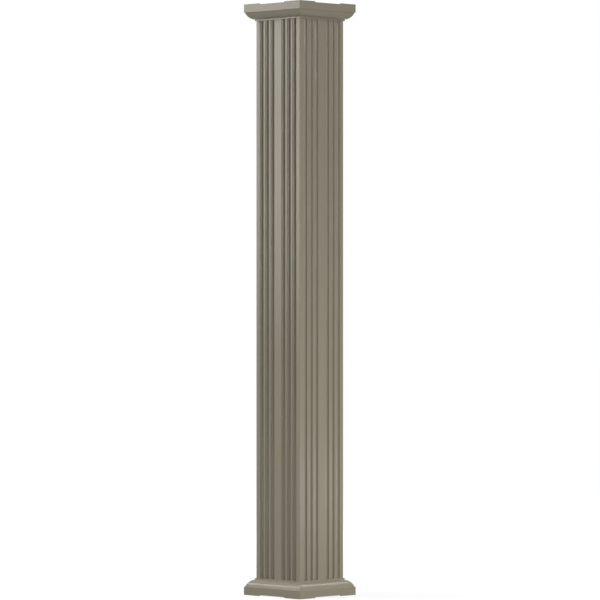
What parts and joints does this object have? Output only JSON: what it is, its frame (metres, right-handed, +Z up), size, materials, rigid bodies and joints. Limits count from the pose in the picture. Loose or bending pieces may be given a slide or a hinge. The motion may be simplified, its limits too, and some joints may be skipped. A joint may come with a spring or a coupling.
{
  "type": "square fluted column",
  "caption": "Square fluted porch column: a straight hollow shaft with a moulded base and a matching inverted capital, standing by its own weight.",
  "frame": {"origin": "centre of the underside, on the surface that the column stands on", "axes": "+Z up along the column's axis; +X and +Y square to its flat faces"},
  "size_m": [0.327, 0.327, 2.4384],
  "materials": {
    "shaft_paint": "satin warm grey-brown paint on extruded aluminium",
    "moulding_paint": "satin warm grey-brown paint on cast aluminium"
  },
  "bodies": {
    "root": {"shaft": "shaft_paint", "base": "moulding_paint", "capital": "moulding_paint"}
  },
  "joints": []
}
